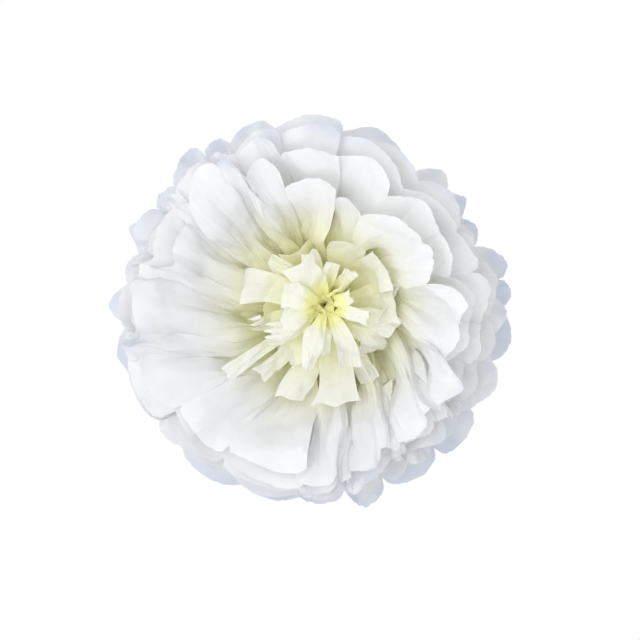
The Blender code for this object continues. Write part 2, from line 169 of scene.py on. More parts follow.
# Outer sheets, from the back to the front. "turn" is the distance in which a sheet turns up,
# "steep" and "rim" are its slopes after that and at its rim, on the low and on the raised side,
# "pleat" is the pleats' half depth, once they have opened near the waist and at the rim, "scallop"
# is how far a broad petal's crown stands past its folds and "uneven" how much the crowns and the
# folds stray. For each half: the folds' azimuths at the rim, and the distance from the axis to each
# panel's crown. Slopes are in degrees and distances in hundredths of the flower's radius.
OUTER_SHEETS = (
    {
        "turn": 24.0, "steep": (-6.0, -6.0), "rim": (2.0, 4.0), "pleat": (4.4, 1.2), "scallop": 7.2,
        "uneven": 0.0,
        "right_folds": (-98.6, -84, -71.5, -52.5, -34.7, -18.3, 0, 8.5, 22, 33, 42, 56.8, 87.2),
        "right_crowns": (100, 104, 99, 98, 96, 96, 95, 95, 87, 90, 91, 87),
        "left_folds": (88.0, 100, 113, 127, 141, 155, 170, 183, 203.6, 213.4, 224, 246, 260.8),
        "left_crowns": (94, 94, 95, 95, 96, 97, 102, 109, 105, 105, 105, 102),
    },
    {
        "turn": 23.0, "steep": (7.0, 14.5), "rim": (4.5, 11.5), "pleat": (4.4, 1.8), "scallop": 7.2,
        "uneven": 2.5,
        "right_folds": (-98.6, -84, -76, -61, -53, -38, -28, -13, 4, 20, 36, 56, 87.2),
        "right_crowns": (95, 92, 94, 91, 92, 90, 91, 90, 87, 84, 84, 91),
        "left_folds": (88.0, 106.7, 121.5, 128, 143.3, 150, 164.5, 172.5, 188, 196, 214.5, 237, 260.8),
        "left_crowns": (96, 97, 92, 101, 99, 106, 100, 107, 98, 102, 102, 101),
    },
    {
        "turn": 20.0, "steep": (12.5, 27.0), "rim": (7.5, 20.0), "pleat": (4.4, 3.0), "scallop": 4.6,
        "uneven": 4.0,
        "right_folds": (-98.6, -84, -77.5, -64, -58, -43, -36, -21, -5, 12, 30, 54, 87.2),
        "right_crowns": (97, 95, 93, 91, 90, 88, 86, 85, 82, 81, 81, 84),
        "left_folds": (88.0, 105, 121, 128, 142, 149.5, 165, 173, 188, 196, 215, 237, 260.8),
        "left_crowns": (95, 96, 98, 101, 101, 100, 101, 102, 102, 101, 99, 98),
    },
    {
        "turn": 17.0, "steep": (17.5, 39.0), "rim": (11.5, 31.0), "pleat": (4.4, 3.4), "scallop": 3.8,
        "uneven": 4.0,
        "right_folds": (-98.6, -85, -79, -66, -60, -45, -38.5, -23, -6, 12, 30, 56, 87.2),
        "right_crowns": (96, 93, 91, 88, 86, 83, 80, 81, 80, 80, 80, 82),
        "left_folds": (88.0, 105.5, 121, 127.5, 142, 148.5, 164.5, 171.5, 188, 195.5, 215, 237, 260.8),
        "left_crowns": (92, 93, 96, 98, 97, 97, 100, 101, 102, 101, 98, 95),
    },
    {
        "turn": 14.0, "steep": (22.0, 50.0), "rim": (15.0, 41.0), "pleat": (4.4, 3.6), "scallop": 3.3,
        "uneven": 4.0,
        "right_folds": (-98.6, -86, -80, -67, -61, -46, -40, -24, -7, 12, 31, 60, 87.2),
        "right_crowns": (94, 91, 89, 85, 82, 79, 77, 74, 73, 71, 70, 73),
        "left_folds": (88.0, 106.5, 121.5, 127.5, 143, 148.5, 165, 171, 188.5, 195, 215, 236.5, 260.8),
        "left_crowns": (82, 86, 90, 93, 91, 90, 96, 99, 101, 100, 94, 93),
    },
    {
        "turn": 11.0, "steep": (27.0, 61.0), "rim": (18.5, 51.0), "pleat": (4.4, 3.8), "scallop": 3.2,
        "uneven": 1.2,
        "right_folds": (-98.6, -86, -81, -68, -62, -47, -41, -25, -8, 12, 32, 68, 87.2),
        "right_crowns": (90, 86, 84, 79, 78, 76, 76, 66, 65, 56, 57, 54),
        "left_folds": (88.0, 108, 122, 127.5, 143.5, 149, 165, 171, 189, 196, 215, 236, 260.8),
        "left_crowns": (63, 77, 86, 90, 86, 81, 88, 95, 98, 98, 90, 87),
    },
)

# Inner sheets, cut into flaps. "places" are the middle of a flap on its way out: azimuth, distance
# from the axis, height over the neck and width. A flap may have a middle crease, roll up across,
# tilt about its length or fold over near its end (where on its length, and how far), and the end may
# be cut aslant, to a point or into fingers. Angles are in degrees and distances in hundredths of the
# flower's radius.
INNER_SHEETS = (
    {
        "right_flaps": (
            {"places": ((-79, 15.3, 20.8, 7.5), (-82, 31.2, 28.8, 18), (-82.5, 48.7, 30.4, 24.5)),
             "crease": -1.3, "point": 2.8, "fold": (0.9, 10)},
            {"places": ((-66, 9, 13, 5), (-63, 19, 16, 12), (-66, 31, 22, 18)),
             "roll": 70},
            {"places": ((-54, 16, 20.5, 5.5), (-56.5, 29.6, 26.5, 8), (-58, 44.5, 27, 9)),
             "crease": 1.6},
            {"places": ((-42, 11, 27, 5), (-36, 24, 36.5, 9.5), (-47, 35.5, 33, 13.5)),
             "crease": 2.0, "slant": -3.2, "fold": (0.84, -48)},
            {"places": ((-30, 9, 13, 5), (-28, 19, 18, 12), (-30, 31, 28, 17)),
             "roll": 70},
            {"places": ((-17, 9.3, 27.2, 4.5), (-15, 22, 35, 9), (-17, 37, 36, 11)),
             "crease": 1.3, "fold": (0.85, 20)},
            {"places": ((2, 9, 13, 5), (1, 20, 22, 13), (4, 37, 41, 24)),
             "roll": -40},
            {"places": ((14, 9.2, 22, 5), (8, 20, 29, 13), (4, 36, 36, 22)),
             "crease": -1.2, "slant": 7, "fold": (0.87, 45)},
            {"places": ((34, 9, 13, 5), (36, 20, 25, 14), (35, 37, 49, 26)),
             "roll": 50},
            {"places": ((50, 9, 24, 4.5), (52, 14, 38, 6.5), (54, 20, 47, 8)),
             "crease": 1.2},
            {"places": ((64, 9, 13, 5), (66, 20, 24, 12), (66, 33, 42, 20)),
             "roll": 60},
            {"places": ((80, 8.1, 24, 3.5), (80, 14.6, 40, 6), (80, 20.9, 51.2, 8)),
             "crease": -0.8},
        ),
        "left_flaps": (
            {"places": ((102.5, 9.2, 22.4, 5), (106.4, 17.5, 35.2, 8.8), (108.4, 26, 43.2, 10)),
             "crease": 1.2},
            {"places": ((118, 9, 13, 5), (120, 19, 17, 12), (118, 31, 25, 18)),
             "roll": -60},
            {"places": ((133, 12.7, 20.8, 5.6), (137.5, 24.3, 30.4, 8), (138.3, 36.5, 33.6, 4.8)),
             "crease": 1.3, "fold": (0.9, 5)},
            {"places": ((145, 9, 13, 5), (148, 19, 15.3, 12), (145, 31, 21, 17)),
             "crease": 2.0},
            {"places": ((156, 12, 25.6, 6.5), (163.3, 25.9, 32, 16), (167.6, 42.5, 30.4, 16)),
             "crease": -0.6, "slant": 3.2, "fold": (0.72, 28)},
            {"places": ((175, 9, 13, 5), (177, 19, 14.2, 12), (175, 31, 18, 20)),
             "roll": 60},
            {"places": ((194, 12.5, 22, 4.5), (194.6, 25.7, 30.4, 8), (194.2, 40.5, 30.4, 8)),
             "crease": 1.0, "fingers": 3},
            {"places": ((203, 9, 13, 5), (205, 19, 14, 12), (203, 31, 17.5, 16)),
             "crease": -2.0},
            {"places": ((212, 13.9, 20.8, 4.5), (214.5, 37.1, 28.8, 7), (215.5, 59.9, 28.8, 7.4)),
             "crease": 1.1, "fold": (0.85, 12)},
            {"places": ((222, 9, 13, 5), (224, 19, 14, 12), (222, 31, 17.5, 17)),
             "roll": 70},
            {"places": ((232, 14, 20, 4.5), (229, 32.6, 26, 8), (227, 49.1, 26, 9)),
             "crease": -1.0},
            {"places": ((243, 9, 13, 5), (245, 19, 14, 12), (243, 31, 17.5, 18)),
             "crease": 2.2},
            {"places": ((254, 17.3, 20.8, 6), (252, 33.7, 27.2, 12.5), (250.1, 49.7, 27.2, 16)),
             "crease": 1.4, "slant": -3.2, "fold": (0.86, -12)},
        ),
    },
    {
        "right_flaps": (
            {"places": ((-84, 8, 29, 3.5), (-88, 14, 42, 5), (-90, 24, 41, 6)),
             "crease": 0.8},
            {"places": ((-56, 4.5, 34, 4), (-60, 17, 42, 10), (-67, 32, 37, 12.5)),
             "roll": 90, "fold": (0.86, 30)},
            {"places": ((-40, 1.8, 20, 4), (-55, 2.2, 28, 7), (-100, 3.2, 35, 9.5)),
             "roll": 90},
            {"places": ((-22, 6.8, 33, 4), (-14, 11, 46, 7), (-17, 23, 47, 8.5)),
             "roll": 60},
            {"places": ((12, 4, 32, 3.5), (18, 7, 43, 6.5), (22, 13, 50, 8)),
             "crease": 0.8},
            {"places": ((40, 1.6, 20, 4), (15, 1.3, 30, 8), (-150, 0.8, 37, 11)),
             "roll": -60},
            {"places": ((60, 5.5, 31, 4), (61, 7, 45, 5), (65, 12, 56, 7.5)),
             "tilt": 80},
        ),
        "left_flaps": (
            {"places": ((106, 5.2, 32, 4), (118, 14, 46, 17), (122, 25.5, 49, 22)),
             "roll": -105, "fold": (0.8, -35)},
            {"places": ((130, 1.8, 20, 4), (100, 2.1, 29, 7), (50, 3.3, 36, 9.5)),
             "roll": 90},
            {"places": ((154, 5.2, 37, 4), (162, 12, 50, 12), (164, 23, 50, 17)),
             "roll": -80, "fold": (0.8, -30)},
            {"places": ((178, 1.8, 20, 4), (205, 2, 28, 7), (245, 3, 34, 9.5)),
             "roll": 80},
            {"places": ((196, 6, 35, 4), (200, 15, 44.5, 10.5), (201, 24, 44, 13)),
             "roll": -60, "slant": 3, "fold": (0.8, -30)},
            {"places": ((214, 7, 32, 4), (218, 17, 39, 9), (206, 34, 38, 13)),
             "roll": -110, "fingers": 4},
            {"places": ((236, 9.5, 21, 5), (238, 21, 30, 12), (235, 35, 32, 17)),
             "roll": 110, "fold": (0.85, 35)},
            {"places": ((254, 5, 36, 4), (253, 16.5, 47, 9.6), (254, 32, 45, 7.5)),
             "crease": 2, "point": 2.4, "fold": (0.82, 25)},
        ),
    },
)

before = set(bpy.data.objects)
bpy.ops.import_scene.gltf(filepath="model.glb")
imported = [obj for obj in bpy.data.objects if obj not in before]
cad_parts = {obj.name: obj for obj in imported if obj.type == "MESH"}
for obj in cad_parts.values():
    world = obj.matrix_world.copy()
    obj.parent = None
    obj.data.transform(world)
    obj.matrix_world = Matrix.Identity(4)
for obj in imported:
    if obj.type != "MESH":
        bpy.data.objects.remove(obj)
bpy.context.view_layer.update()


def smooth(x):
    """From 0 at 0 to 1 at 1, level at both ends."""
    x = min(max(x, 0.0), 1.0)
    return x * x * (3.0 - 2.0 * x)


def between(low, high, share):
    return low + (high - low) * share


def raised(azimuth):
    """How far an azimuth lies on the raised side, from 0 to 1."""
    return (0.5 + 0.5 * math.cos(math.radians(azimuth - RAISED_SIDE))) ** RAISED_NARROWS


def of_radius(hundredths):
    return FLOWER_RADIUS * hundredths / 100.0


def in_space(azimuth, radius, height):
    """The point at an azimuth, a distance from the axis and a height in front of the wall."""
    a = math.radians(azimuth)
    return Vector((radius * math.cos(a), -height, radius * math.sin(a)))


def walk(slope_at, spread):
    """Follows a section from the neck, a step at a time, until it is `spread` from the axis. Gives
    (radius, height, slope) at each step. slope_at gives degrees for a distance along the section."""
    radius, height, run = NECK_RADIUS, 0.0, 0.0
    points = [(radius, height, 0.0)]
    while radius < spread:
        slope = math.radians(slope_at(run))
        radius += STEP * math.cos(slope)
        height += STEP * math.sin(slope)
        run += STEP
        points.append((radius, height, slope))
    return points


def along(points, share):
    """(radius, height, slope, run) at a share of a section's length."""
    place = share * (len(points) - 1.0)
    i = min(int(place), len(points) - 2)
    radius, height, slope = (between(a, b, place - i) for a, b in zip(points[i], points[i + 1]))
    return radius, height, slope, place * STEP


class Paper:
    """A sheet being laid out: its points, its faces and three facts about each point, for the
    crumples and the colours: how far along the flat paper it lies, how far across and at what share
    of the way to the rim."""

    def __init__(self, neck):
        self.neck = neck
        self.points = [in_space(0.0, 0.0, neck)]
        self.faces = []
        self.facts = [(0.0, 0.0, 0.0)]
        self.ring = []

    def strip(self, columns):
        """Adds a strip. columns: lists of (point, facts), from the neck to the rim."""
        first = len(self.points)
        rows = len(columns[0])
        for column in columns:
            for point, facts in column:
                self.points.append(point)
                self.facts.append(facts)
        for c in range(len(columns) - 1):
            for r in range(rows - 1):
                a = first + c * rows + r
                self.faces.append((a, a + 1, a + rows + 1, a + rows))
        self.ring += [first + c * rows for c in range(len(columns))]

    def mesh(self, name):
        """The sheet, closed at the waist from the axis to the ring of its strips' first points."""
        for a, b in zip(self.ring, self.ring[1:] + self.ring[:1]):
            self.faces.append((0, a, b))
        mesh = bpy.data.meshes.new(name)
        mesh.from_pydata(self.points, [], self.faces)
        mesh.validate()
        for i, fact in enumerate(("along", "across", "reach")):
            values = mesh.attributes.new(fact, "FLOAT", "POINT").data
            values.foreach_set("value", [facts[i] for facts in self.facts])
        return mesh


class PleatedHalf:
    """One half of an outer sheet: panels that run from ridge to valley and from valley to ridge in
    turn. first_fold is RIDGE or VALLEY. A trait is a list with an item for each panel."""

    def __init__(self, sheet, seed, middle, folds, crowns, first_fold):
        draw = random.Random(seed)
        uneven = sheet["uneven"]
        self.sheet = sheet
        self.middle = middle
        self.first_fold = first_fold
        self.crowns = [crown + draw.uniform(*CROWN_STRAY) * uneven for crown in crowns]
        strays = [draw.uniform(*FOLD_STRAY) * uneven for _ in range(PANELS - 1)]
        self.folds = [folds[0], *(fold + stray for fold, stray in zip(folds[1:], strays)), folds[-1]]
        edges = list(zip(self.folds, self.folds[1:]))
        self.broad = [min(1.0, (b - a) / BROAD_PANEL) for a, b in edges]
        sides = [raised(0.5 * (a + b)) for a, b in edges]
        kept = [1.0 - RAISED_CALM * side for side in sides]
        self.lean = [draw.uniform(*LEAN) for _ in range(PANELS)]
        self.curl = [draw.uniform(*CURL) * broad * broad * share for broad, share in zip(self.broad, kept)]
        self.hollow = [draw.uniform(*HOLLOW) * share for share in kept]
        self.ripple = [draw.uniform(0.0, math.tau) for _ in range(PANELS)]
        skews = [SKEW + UNEVEN_SKEW * uneven + RAISED_SKEW * side for side in sides]
        self.skew = [2.0 ** draw.uniform(-most, most) for most in skews]
        least, most = FULLNESS
        self.fullness = [draw.uniform(least, most - RAISED_LESS_FULL * side) for side in sides]

    def bow(self, panel, share):
        """How a panel's end bows out at a share of its breadth: 0 at its folds and 1 at its crown."""
        off_crown = min(1.0, abs(2.0 * share ** self.skew[panel] - 1.0))
        return (1.0 - off_crown ** self.fullness[panel]) ** (1.0 / self.fullness[panel])

    def column(self, neck, panel, share):
        """The points from the neck to the rim at a share of a panel's breadth, with their facts."""
        sheet, crowns, broad = self.sheet, self.crowns, self.broad[panel]
        bow = self.bow(panel, share)
        last, after = max(panel - 1, 0), min(panel + 1, PANELS - 1)
        beside = last if share < 0.5 else after

        def blended(trait):
            """The panel's own value at its crown, and the mean with its neighbour's at a fold."""
            own = trait[panel]
            return between(0.5 * (own + trait[beside]), own, bow)

        # How far from the axis the paper ends here: least at the folds, most at the crown
        notch = between(min(crowns[last], crowns[panel]), min(crowns[after], crowns[panel]), share)
        spread = of_radius(between(notch - sheet["scallop"] * broad, crowns[panel], bow))

        # Azimuths on the way out; place is -1 at the half's first fold and 1 at its last
        place = 2.0 * (panel + share) / PANELS - 1.0
        at_neck = SEAMS_FACE + self.middle + place * (90.0 - SEAM_AT_NECK)
        at_slit = SEAMS_FACE + self.middle + place * (90.0 - SEAM_OPEN)
        at_rim = between(self.folds[panel], self.folds[panel + 1], share)

        # Slopes on the way out, in degrees
        side = raised(at_rim)
        steep = between(*sheet["steep"], side) + blended(self.lean)
        rim = between(*sheet["rim"], side) + blended(self.lean)
        curl = blended(self.curl)
        turn = of_radius(sheet["turn"])

        def slope_at(run):
            up = smooth((run - TURN_FROM * turn) / ((TURN_TO - TURN_FROM) * turn))
            out = smooth((run - TURN_TO * turn) / (LEANED_OUT - TURN_TO * turn))
            curled = curl * smooth((run / LEANED_OUT - CURL_FROM) / CURL_OVER)
            return between(steep * up, rim, out) + curled

        section = walk(slope_at, spread)
        falling = self.first_fold if panel % 2 == 0 else -self.first_fold
        column = []
        for j in range(ALONG + 1):
            reach = j / ALONG
            radius, height, slope, run = along(section, reach)
            fan = smooth((reach - FAN_FROM) / (1.0 - FAN_FROM))
            azimuth = between(between(at_neck, at_slit, smooth(run / SEAM_CLOSED)), at_rim, fan)
            opened = 1.0 - math.exp(-((run / PLEAT_RISE) ** 2))
            pleat = opened * of_radius(between(*sheet["pleat"], smooth(reach)))
            # proud is how far the paper stands in front of the sheet's section
            proud = falling * (1.0 - 2.0 * share) * pleat - self.hollow[panel] * broad * bow * bow * fan
            proud += RIPPLE * broad * fan * bow * math.sin(RIPPLE_TURN * share + self.ripple[panel])
            point = in_space(
                azimuth,
                radius - proud * math.sin(slope),
                neck + height + proud * math.cos(slope),
            )
            column.append((point, (run, (panel + share) * PANEL_WIDTH, reach)))
        return column

    def lay(self, paper):
        """Adds the half to the sheet, panel by panel."""
        columns = []
        for panel in range(PANELS):
            for i in range(ACROSS):
                columns.append(self.column(paper.neck, panel, i / ACROSS))
        columns.append(self.column(paper.neck, PANELS - 1, 1.0))
        paper.strip(columns)


def route(places, share):
    """A smooth curve through places, lists of numbers, at a share of the way."""
    at = share * (len(places) - 1)
    i = min(int(at), len(places) - 2)
    t = at - i
    before, a, b, after = (places[min(max(k, 0), len(places) - 1)] for k in (i - 1, i, i + 1, i + 2))
    return [
        0.5 * (2 * q + (r - p) * t + (2 * p - 5 * q + 4 * r - w) * t**2 + (3 * q - p - 3 * r + w) * t**3)
        for p, q, r, w in zip(before, a, b, after)
    ]


def ways(middle, j, azimuth, tilt):
    """Three directions at row j of a flap's middle line: ahead, to the side and off its face."""
    a = math.radians(azimuth)
    ahead = (middle[min(j + 1, ALONG)] - middle[max(j - 1, 0)]).normalized()
    side = Vector((-math.sin(a), 0.0, math.cos(a)))
    side = (side - ahead * side.dot(ahead)).normalized()
    side = side * math.cos(tilt) + ahead.cross(side) * math.sin(tilt)
    return ahead, side, ahead.cross(side)


def lay_flap(paper, traits, neck_azimuth, seed):
    """One flap, from its root at the neck to its end, cut unevenly and folded over near the end."""
    draw = random.Random(seed)
    traits = {**PLAIN_FLAP, **traits}
    cuts = [draw.uniform(*CUT_STRAY) for _ in range(FLAP_CUTS + 1)]
    sway, swell = draw.uniform(0.0, math.tau), draw.uniform(0.0, math.tau)
    fold_at, fold = traits.get("fold", (draw.uniform(*TIP_FOLD_AT), draw.uniform(*TIP_FOLD)))
    fold = math.radians(fold)
    roll = math.radians(traits["roll"])
    tilt = math.radians(traits["tilt"])
    root = 100.0 * NECK_RADIUS / FLOWER_RADIUS
    places = [(neck_azimuth, root, 0.0, root * math.radians(FLAP_AT_NECK)), *traits["places"]]
    rows = [route(places, j / ALONG) for j in range(ALONG + 1)]
    middle = [in_space(row[0], of_radius(row[1]), paper.neck + of_radius(row[2])) for row in rows]
    steps = [0.0, *((b - a).length for a, b in zip(middle, middle[1:]))]
    facing = [ways(middle, j, row[0], tilt * (j / ALONG)) for j, row in enumerate(rows)]
    # even and at are places across the flap, as shares of its width from its middle line: even is
    # evenly spaced, and at swells and sways. beyond is the length past the fold near the end.
    columns = []
    for i in range(FLAP_ACROSS + 1):
        even = i / FLAP_ACROSS - 0.5
        slit = 0.0
        if traits["fingers"]:
            slit = 1.0 - abs(math.sin(math.pi * traits["fingers"] * (even + 0.5)))
        at_cut = (even + 0.5) * FLAP_CUTS
        corner = min(int(at_cut), FLAP_CUTS - 1)
        cut = between(cuts[corner], cuts[corner + 1], at_cut - corner)
        column, run, beyond = [], 0.0, 0.0
        for j, (azimuth, _, _, width) in enumerate(rows):
            reach = j / ALONG
            share = smooth(reach)
            at = even * (1.0 + SWELL * share * math.sin(SWELL_TURN * reach + swell))
            at += SWAY * share * math.sin(SWAY_TURN * reach + sway)
            arc = roll * share + NEARLY_FLAT
            forward = width * (1.0 - math.cos(arc * at)) / arc
            forward += traits["crease"] * share * (0.5 - abs(2.0 * at))
            further = traits["slant"] * at + traits["point"] * (0.5 - abs(at)) + cut
            further -= FINGER_SLIT * slit * smooth((reach - FINGERS_FROM) / FINGERS_OVER)
            run += steps[j]
            beyond += steps[j] if reach > fold_at + TIP_FOLD_ASLANT * even else 0.0
            ahead, side, lift = facing[j]
            point = (
                middle[j]
                + side * of_radius(width * math.sin(arc * at) / arc)
                + lift * (of_radius(forward) + beyond * math.sin(fold))
                + ahead * (of_radius(further * reach**3) - beyond * (1.0 - math.cos(fold)))
            )
            column.append((point, (run, at * FLAP_WIDTH + FLAP_APART * azimuth, reach)))
        columns.append(column)
    paper.strip(columns)


def lay_flapped_half(paper, middle, flaps, seed):
    """Half an inner sheet: flaps whose roots lie side by side round the neck."""
    first = SEAMS_FACE + middle - 90.0 + SEAM_AT_NECK
    pitch = (180.0 - 2.0 * SEAM_AT_NECK) / len(flaps)
    for i, traits in enumerate(flaps):
        lay_flap(paper, traits, first + pitch * (i + 0.5), seed + i)


class Tree:
    """A node tree being wired up."""

    def __init__(self, tree):
        self.tree = tree

    def node(self, kind, settings=None, **sockets):
        """Adds a node. sockets: what goes into each, by its name, or by its number as _0 and on."""
        node = self.tree.nodes.new(kind)
        for name, value in (settings or {}).items():
            setattr(node, name, value)
        for name, value in sockets.items():
            self.join(value, node.inputs[int(name[1:]) if name[1:].isdigit() else name])
        return node

    def join(self, value, socket):
        """Links another node's result to a socket, or sets the socket to a constant."""
        if isinstance(value, bpy.types.NodeSocket):
            self.tree.links.new(value, socket)
        else:
            socket.default_value = value

    def maths(self, operation, a, b=0.0, c=0.0):
        """A Math node's result for numbers or other nodes' results."""
        return self.node("ShaderNodeMath", {"operation": operation}, _0=a, _1=b, _2=c).outputs[0]

    def plus(self, a, b):
        return self.maths("ADD", a, b)

    def minus(self, a, b):
        return self.maths("SUBTRACT", a, b)

    def times(self, a, b):
        return self.maths("MULTIPLY", a, b)


def crumple_tree():
    """Displaces a sheet along its normals: gathers and long creases from the waist, straight folds
    and crumples all over and a flutter at the rim."""
    group = bpy.data.node_groups.new("Crumple tissue", "GeometryNodeTree")
    face = group.interface
    face.new_socket("Geometry", in_out="INPUT", socket_type="NodeSocketGeometry")
    for name in (*OUTER_CRUMPLE, "Seed"):
        face.new_socket(name, in_out="INPUT", socket_type="NodeSocketFloat")
    face.new_socket("Paper", in_out="INPUT", socket_type="NodeSocketMaterial")
    face.new_socket("Geometry", in_out="OUTPUT", socket_type="NodeSocketGeometry")
    t = Tree(group)
    given = t.node("NodeGroupInput").outputs

    def fact(name):
        node = t.node("GeometryNodeInputNamedAttribute", {"data_type": "FLOAT"}, _0=name)
        return node.outputs["Attribute"]

    run, across, reach = fact("along"), fact("across"), fact("reach")
    started = t.maths("MINIMUM", t.times(run, CRUMPLES_RISE), 1.0)

    def places(size, length, apart):
        """Places on the flat paper, in units of size across it and of length sizes along it."""
        return t.node(
            "ShaderNodeCombineXYZ",
            X=t.maths("DIVIDE", across, size),
            Y=t.maths("DIVIDE", run, t.times(size, length)),
            Z=t.plus(given["Seed"], apart),
        ).outputs[0]

    def noise(at, **settings):
        """Soft noise, from 0 to 1."""
        return t.node("ShaderNodeTexNoise", Vector=at, Scale=1.0, **settings).outputs[0]

    def ridges(at, detail):
        """Sharp ridges and valleys, from about -1 to 1."""
        swing = t.minus(noise(at, Detail=detail, Roughness=RIDGE_ROUGHNESS), 0.5)
        return t.minus(1.0, t.times(t.maths("ABSOLUTE", swing), RIDGE_STEEPNESS))

    fading = t.maths("POWER", t.minus(1.0, t.times(reach, GATHERS_END)), GATHERS_FADE)
    gathers = ridges(places(given["Crease Width"], GATHER_LENGTH, 0.0), 1.0)
    gathers = t.times(t.times(gathers, given["Gather Height"]), t.times(fading, started))

    patch = noise(places(t.times(given["Fold Size"], BEND_SIZE), 1.0, BENDS_APART), Detail=1.0)
    folds = 0.0
    for angle, spacing, start in FOLDS:
        a = math.radians(angle)
        at = t.maths("MULTIPLY_ADD", run, math.sin(a), t.times(across, math.cos(a)))
        at = t.maths("DIVIDE", at, t.times(given["Fold Size"], spacing))
        at = t.plus(at, t.maths("MULTIPLY_ADD", given["Seed"], start, start))
        at = t.maths("MULTIPLY_ADD", patch, BEND, at)
        zigzag = t.minus(t.maths("PINGPONG", at, 1.0), 0.5)
        folds = t.plus(folds, t.times(zigzag, spacing))
    folds = t.times(folds, t.times(given["Fold Height"], started))

    crumples = ridges(places(given["Crumple Size"], CRUMPLE_LENGTH, CRUMPLES_APART), 2.0)
    crumples = t.times(t.times(crumples, given["Crumple Height"]), started)

    wave = noise(places(given["Flutter Size"], 1.0, FLUTTER_APART), Detail=0.0)
    flutter = t.times(t.times(t.minus(wave, 0.5), 2.0), given["Flutter Height"])
    flutter = t.times(flutter, t.maths("POWER", reach, FLUTTER_POWER))

    total = t.plus(t.plus(gathers, crumples), t.plus(folds, flutter))
    normal = t.node("GeometryNodeInputNormal").outputs[0]
    offset = t.node("ShaderNodeVectorMath", {"operation": "SCALE"}, _0=normal, Scale=total).outputs[0]
    moved = t.node("GeometryNodeSetPosition", Geometry=given["Geometry"], Offset=offset).outputs[0]
    whole = t.node("GeometryNodeRealizeInstances", Geometry=moved).outputs[0]
    painted = t.node("GeometryNodeSetMaterial", Geometry=whole, Material=given["Paper"]).outputs[0]
    t.node("NodeGroupOutput", _0=painted)
    return group


def set_inputs(modifier, values):
    """Sets a modifier's inputs, given by name, through their identifiers."""
    for item in modifier.node_group.interface.items_tree:
        if item.in_out == "INPUT" and item.name in values:
            modifier[item.identifier] = values[item.name]


def plain_mesh(obj, name):
    """The object as its modifiers leave it, as a plain mesh object in its place."""
    evaluated = obj.evaluated_get(bpy.context.evaluated_depsgraph_get())
    mesh = bpy.data.meshes.new_from_object(evaluated)
    laid = obj.data
    bpy.data.objects.remove(obj, do_unlink=True)
    bpy.data.meshes.remove(laid)
    mesh.name = name
    made = bpy.data.objects.new(name, mesh)
    bpy.context.scene.collection.objects.link(made)
    return made


def crumpled(mesh, tree, paper, seed, sizes):
    """The laid sheet as crumpled tissue, kept clear of the wall that the flower hangs on."""
    obj = bpy.data.objects.new("laid", mesh)
    bpy.context.scene.collection.objects.link(obj)
    modifier = obj.modifiers.new("Crumple", "NODES")
    modifier.node_group = tree
    set_inputs(modifier, {**sizes, "Seed": seed, "Paper": paper})
    made = plain_mesh(obj, mesh.name)
    for vertex in made.data.vertices:
        vertex.co.y = min(vertex.co.y, -OFF_THE_WALL)
    return made


def walled(obj):
    """The sheet with its thickness."""
    wall = obj.modifiers.new("Wall", "SOLIDIFY")
    wall.thickness = WALL
    wall.offset = 0.0
    made = plain_mesh(obj, obj.name)
    made.data.shade_smooth()
    made.data.set_sharp_from_angle(angle=math.radians(SHARP_EDGE))
    return made


def layers_near(point, normal, others):
    """How many of the other sheets lie close in front of a point of the paper, and close behind."""
    hits = (tree.ray_cast(point, side, BACKED_WITHIN)[0] for side in (normal, -normal) for tree in others)
    return sum(hit is not None for hit in hits)


def count_backing(sheets):
    """Marks each point with its backing, from 0 to 1: how many other sheets lie close to it, which sets
    where thin paper gets painted shade.
    """
    trees = []
    for sheet in sheets:
        points = [vertex.co for vertex in sheet.data.vertices]
        faces = [tuple(face.vertices) for face in sheet.data.polygons]
        trees.append(BVHTree.FromPolygons(points, faces))
    for number, sheet in enumerate(sheets):
        others = trees[:number] + trees[number + 1:]
        values = []
        for vertex in sheet.data.vertices:
            layers = layers_near(vertex.co, vertex.normal, others)
            values.append(min(layers, BACKING_LAYERS) / BACKING_LAYERS)
        edges = [tuple(edge.vertices) for edge in sheet.data.edges]
        for _ in range(BACKING_SPREADS):
            total = [(value, 1) for value in values]
            for a, b in edges:
                total[a] = (total[a][0] + values[b], total[a][1] + 1)
                total[b] = (total[b][0] + values[a], total[b][1] + 1)
            values = [value / count for value, count in total]
        attribute = sheet.data.attributes.new("backing", "FLOAT", "POINT")
        attribute.data.foreach_set("value", values)


